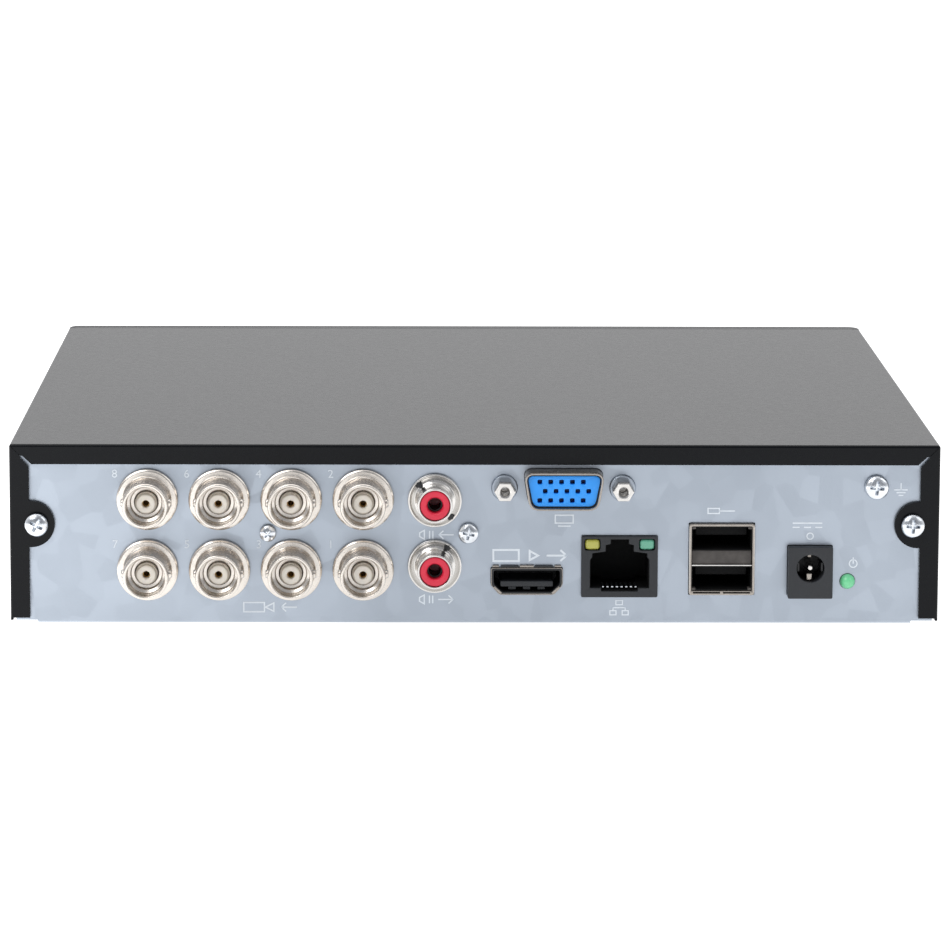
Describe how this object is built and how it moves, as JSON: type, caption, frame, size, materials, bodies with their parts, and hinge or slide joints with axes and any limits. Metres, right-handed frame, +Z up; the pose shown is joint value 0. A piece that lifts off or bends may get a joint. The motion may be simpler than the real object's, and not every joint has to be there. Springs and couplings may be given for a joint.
{
  "type": "digital video recorder",
  "caption": "Compact desktop security video recorder: black steel cover, bare steel rear panel of coaxial, audio, monitor, network, USB and power sockets, hard drive inside.",
  "frame": {"origin": "centre of the overall bounding box in X and Y, on the plane that the feet stand on", "axes": "+Y from the front bezel to the connector panel, along the connectors; +X to the left of someone looking at the connector panel; +Z up"},
  "size_m": [0.197, 0.201, 0.0413],
  "materials": {
    "zinc_sheet": "zinc-coated steel sheet, pale bluish grey with faint mottling",
    "black_paint": "satin black powder coat",
    "black_plastic": "moulded black plastic, satin",
    "smoked_window": "dark smoked indicator window",
    "rubber_foot": "moulded black rubber",
    "zinc_screw": "bright zinc plating",
    "nickel": "warm nickel plating",
    "bright_nickel": "bright nickel plating",
    "gold_contact": "gold-flashed brass",
    "cream_plastic": "cream insulator plastic",
    "red_plastic": "red moulded plastic",
    "blue_plastic": "bright blue moulded plastic",
    "led_yellow": "yellow light window",
    "led_green": "green light window",
    "circuit_board": "green solder mask",
    "cast_aluminium": "cast and machined aluminium",
    "drive_lid": "pressed steel lid",
    "platter_mirror": "polished platter",
    "red_lead": "red sleeved lead",
    "black_lead": "black and coloured wires"
  },
  "bodies": {
    "chassis": {"chassis_tray": "zinc_sheet", "front_bezel": "black_plastic", "status_window": "smoked_window", "foot_front_left": "rubber_foot", "foot_front_right": "rubber_foot", "foot_rear_left": "rubber_foot", "foot_rear_right": "rubber_foot", "jack_block_screw_left": "zinc_screw", "jack_block_screw_right": "zinc_screw", "ground_screw": "zinc_screw", "bnc_block": "cream_plastic", "bnc_shell_1": "nickel", "bnc_contact_1": "gold_contact", "bnc_shell_2": "nickel", "bnc_contact_2": "gold_contact", "bnc_shell_3": "nickel", "bnc_contact_3": "gold_contact", "bnc_shell_4": "nickel", "bnc_contact_4": "gold_contact", "bnc_shell_5": "nickel", "bnc_contact_5": "gold_contact", "bnc_shell_6": "nickel", "bnc_contact_6": "gold_contact", "bnc_shell_7": "nickel", "bnc_contact_7": "gold_contact", "bnc_shell_8": "nickel", "bnc_contact_8": "gold_contact", "audio_jack_housing": "black_plastic", "audio_in_shell": "bright_nickel", "audio_in_insulator": "red_plastic", "audio_out_shell": "bright_nickel", "audio_out_insulator": "red_plastic", "vga_shell": "bright_nickel", "vga_insulator": "blue_plastic", "vga_standoff_left": "bright_nickel", "vga_standoff_right": "bright_nickel", "vga_board": "circuit_board", "hdmi_shell": "bright_nickel", "hdmi_tongue": "black_plastic", "lan_jack": "black_plastic", "lan_led_yellow": "led_yellow", "lan_led_green": "led_green", "usb_shell": "bright_nickel", "usb_insulator": "black_plastic", "dc_jack": "black_plastic", "dc_pin": "bright_nickel", "power_led": "led_green", "main_board": "circuit_board", "heat_sink": "cast_aluminium", "coin_cell": "zinc_screw", "hdd_base": "cast_aluminium", "hdd_cover": "drive_lid", "hdd_board": "circuit_board", "sata_data_cable": "red_lead", "sata_power_cable": "black_lead"},
    "cover": {"top_cover": "black_paint", "cover_screw_left": "zinc_screw", "cover_screw_right": "zinc_screw"},
    "platters": {"hdd_platters": "platter_mirror"},
    "head_arm": {"hdd_arm": "cast_aluminium"}
  },
  "joints": [
    {"name": "cover_slide", "type": "slide", "parent": "chassis", "child": "cover", "axis": [0, 1, 0], "range_m": [0, 0.2]},
    {"name": "platter_spin", "type": "hinge", "parent": "chassis", "child": "platters", "pos_m": [-0.0227, -0.0426, 0.02], "axis": [0, 0, 1], "continuous": true},
    {"name": "arm_swing", "type": "hinge", "parent": "chassis", "child": "head_arm", "pos_m": [0.0293, -0.0666, 0.02], "axis": [0, 0, 1], "range_deg": [0, 36]}
  ]
}
